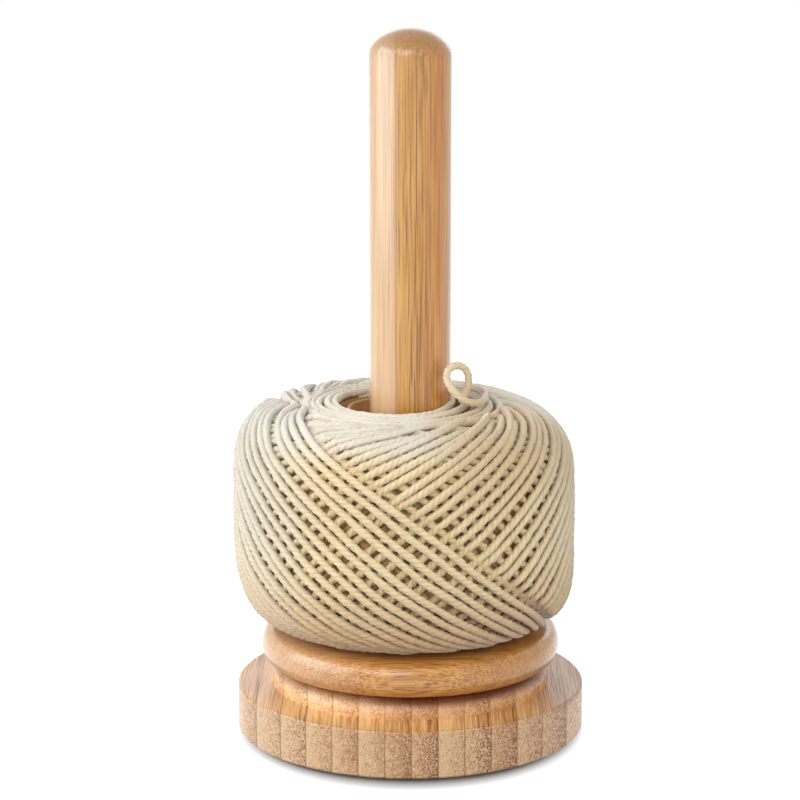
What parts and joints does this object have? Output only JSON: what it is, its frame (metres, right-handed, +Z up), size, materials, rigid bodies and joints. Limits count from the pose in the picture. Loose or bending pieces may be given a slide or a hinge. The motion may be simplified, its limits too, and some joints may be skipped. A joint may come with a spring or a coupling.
{
  "type": "yarn ball holder",
  "caption": "Wooden yarn ball holder: a round base, a turntable on a ball bearing and a domed post that carries a wound ball of twine.",
  "frame": {"origin": "on the floor, in the middle of the four feet", "axes": "+Z up along the spindle, -Y towards the viewer of the picture, +X to its right"},
  "size_m": [0.1, 0.1, 0.2017],
  "materials": {
    "base_bamboo": "satin varnish",
    "turntable_bamboo": "satin varnish",
    "post_bamboo": "satin varnish",
    "foot_rubber": "matte",
    "bearing_steel": "ground",
    "shield_steel": "pressed",
    "ball_steel": "polished",
    "cage_plastic": "moulded",
    "fastener_steel": "zinc plated",
    "insert_brass": "machined",
    "tube_cardboard": "matte",
    "core_twine": "matte",
    "winding_twine": "matte"
  },
  "bodies": {
    "base": {"base": "base_bamboo", "rubber_foot_1": "foot_rubber", "rubber_foot_2": "foot_rubber", "rubber_foot_3": "foot_rubber", "rubber_foot_4": "foot_rubber", "bearing_outer_race": "bearing_steel", "bearing_shield_lower": "shield_steel", "bearing_shield_upper": "shield_steel"},
    "turntable": {"turntable": "turntable_bamboo", "bearing_inner_race": "bearing_steel", "spindle_washer": "fastener_steel", "spacer_ring": "fastener_steel", "spindle_bolt": "fastener_steel", "spindle_nut": "fastener_steel", "threaded_insert": "insert_brass", "post": "post_bamboo"},
    "bearing_cage": {"bearing_cage": "cage_plastic", "bearing_ball_1": "ball_steel", "bearing_ball_2": "ball_steel", "bearing_ball_3": "ball_steel", "bearing_ball_4": "ball_steel", "bearing_ball_5": "ball_steel", "bearing_ball_6": "ball_steel", "bearing_ball_7": "ball_steel"},
    "twine_ball": {"twine_core_tube": "tube_cardboard", "twine_ball_core": "core_twine", "twine_winding": "winding_twine"}
  },
  "joints": [
    {"name": "turntable_spin", "type": "hinge", "parent": "base", "child": "turntable", "pos_m": [0, 0, 0.0211], "axis": [0, 0, 1], "continuous": true},
    {"name": "cage_orbit", "type": "hinge", "parent": "base", "child": "bearing_cage", "pos_m": [0, 0, 0.0169], "axis": [0, 0, 1], "continuous": true},
    {"name": "ball_lift", "type": "slide", "parent": "turntable", "child": "twine_ball", "axis": [0, 0, 1], "range_m": [0, 0.175]}
  ],
  "couplings": [
    {"joint": "cage_orbit", "follows": "turntable_spin", "ratio": 0.3677}
  ]
}
